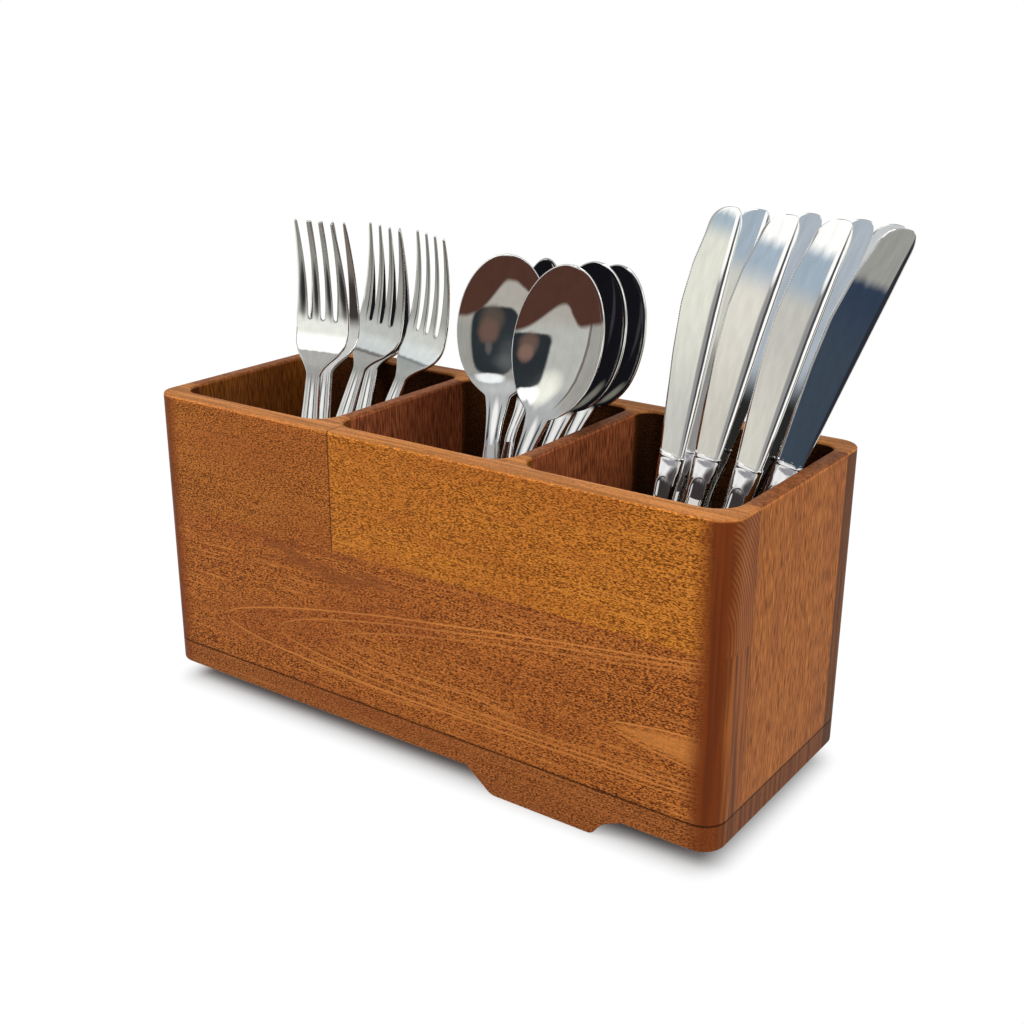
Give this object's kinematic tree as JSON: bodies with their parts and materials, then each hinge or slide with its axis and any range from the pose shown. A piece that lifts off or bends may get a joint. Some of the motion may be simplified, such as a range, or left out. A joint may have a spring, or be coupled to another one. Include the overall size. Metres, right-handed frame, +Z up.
{
  "type": "cutlery box",
  "caption": "Wooden table caddy with open compartments in a row, holding polished forks, spoons and table knives handle down.",
  "frame": {"origin": "middle of the flat underside of the base board", "axes": "+X along the length towards the knife bay, -Y out of the front with the tab, +Z up"},
  "size_m": [0.3197, 0.1243, 0.2457],
  "materials": {
    "front_wood": "oiled, satin, orange brown",
    "front_red_wood": "oiled, satin, red brown",
    "end_wood": "oiled, satin, dark red brown",
    "base_wood": "oiled, satin, brown",
    "foot_wood": "oiled, satin, dark brown",
    "polished_steel": "mirror polished stainless steel"
  },
  "bodies": {
    "box": {"base_board": "base_wood", "front_lower_stave": "front_wood", "front_upper_left_stave": "front_red_wood", "front_upper_right_stave": "front_wood", "back_lower_stave": "front_wood", "back_upper_stave": "front_wood", "left_end_panel": "end_wood", "right_end_panel": "end_wood", "left_partition": "end_wood", "right_partition": "end_wood", "front_left_foot": "foot_wood", "front_right_foot": "foot_wood", "back_left_foot": "foot_wood", "back_right_foot": "foot_wood"},
    "fork_1_body": {"fork_1": "polished_steel"},
    "fork_2_body": {"fork_2": "polished_steel"},
    "fork_3_body": {"fork_3": "polished_steel"},
    "fork_4_body": {"fork_4": "polished_steel"},
    "fork_5_body": {"fork_5": "polished_steel"},
    "spoon_1_body": {"spoon_1": "polished_steel"},
    "spoon_2_body": {"spoon_2": "polished_steel"},
    "spoon_3_body": {"spoon_3": "polished_steel"},
    "spoon_4_body": {"spoon_4": "polished_steel"},
    "spoon_5_body": {"spoon_5": "polished_steel"},
    "knife_1_body": {"knife_1": "polished_steel"},
    "knife_2_body": {"knife_2": "polished_steel"},
    "knife_3_body": {"knife_3": "polished_steel"},
    "knife_4_body": {"knife_4": "polished_steel"},
    "knife_5_body": {"knife_5": "polished_steel"},
    "knife_6_body": {"knife_6": "polished_steel"},
    "knife_7_body": {"knife_7": "polished_steel"},
    "knife_8_body": {"knife_8": "polished_steel"}
  },
  "joints": [
    {"name": "fork_1_lift", "type": "slide", "parent": "box", "child": "fork_1_body", "axis": [-0.007, 0.1952, 0.9807], "range_m": [0, 0.13]},
    {"name": "fork_2_lift", "type": "slide", "parent": "box", "child": "fork_2_body", "axis": [-0.105, 0.3153, 0.9432], "range_m": [0, 0.13]},
    {"name": "fork_3_lift", "type": "slide", "parent": "box", "child": "fork_3_body", "axis": [0.0954, 0.39, 0.9159], "range_m": [0, 0.13]},
    {"name": "fork_4_lift", "type": "slide", "parent": "box", "child": "fork_4_body", "axis": [-0.0986, 0.4545, 0.8853], "range_m": [0, 0.13]},
    {"name": "fork_5_lift", "type": "slide", "parent": "box", "child": "fork_5_body", "axis": [0.156, 0.3961, 0.9049], "range_m": [0, 0.13]},
    {"name": "spoon_1_lift", "type": "slide", "parent": "box", "child": "spoon_1_body", "axis": [-0.1448, 0.3336, 0.9315], "range_m": [0, 0.13]},
    {"name": "spoon_2_lift", "type": "slide", "parent": "box", "child": "spoon_2_body", "axis": [0.1993, 0.1578, 0.9671], "range_m": [0, 0.13]},
    {"name": "spoon_3_lift", "type": "slide", "parent": "box", "child": "spoon_3_body", "axis": [-0.0691, 0.4092, 0.9098], "range_m": [0, 0.13]},
    {"name": "spoon_4_lift", "type": "slide", "parent": "box", "child": "spoon_4_body", "axis": [0.261, 0.0728, 0.9626], "range_m": [0, 0.13]},
    {"name": "spoon_5_lift", "type": "slide", "parent": "box", "child": "spoon_5_body", "axis": [0.3339, -0.0225, 0.9423], "range_m": [0, 0.13]},
    {"name": "knife_1_lift", "type": "slide", "parent": "box", "child": "knife_1_body", "axis": [0.214, -0.0775, 0.9738], "range_m": [0, 0.13]},
    {"name": "knife_2_lift", "type": "slide", "parent": "box", "child": "knife_2_body", "axis": [0.272, -0.0535, 0.9608], "range_m": [0, 0.13]},
    {"name": "knife_3_lift", "type": "slide", "parent": "box", "child": "knife_3_body", "axis": [0.279, -0.0153, 0.9602], "range_m": [0, 0.13]},
    {"name": "knife_4_lift", "type": "slide", "parent": "box", "child": "knife_4_body", "axis": [0.3428, 0.0224, 0.9391], "range_m": [0, 0.13]},
    {"name": "knife_5_lift", "type": "slide", "parent": "box", "child": "knife_5_body", "axis": [0.2619, -0.0613, 0.9631], "range_m": [0, 0.13]},
    {"name": "knife_6_lift", "type": "slide", "parent": "box", "child": "knife_6_body", "axis": [0.305, -0.0114, 0.9523], "range_m": [0, 0.13]},
    {"name": "knife_7_lift", "type": "slide", "parent": "box", "child": "knife_7_body", "axis": [0.3178, -0.0189, 0.948], "range_m": [0, 0.13]},
    {"name": "knife_8_lift", "type": "slide", "parent": "box", "child": "knife_8_body", "axis": [0.3395, -0.0449, 0.9395], "range_m": [0, 0.13]}
  ]
}
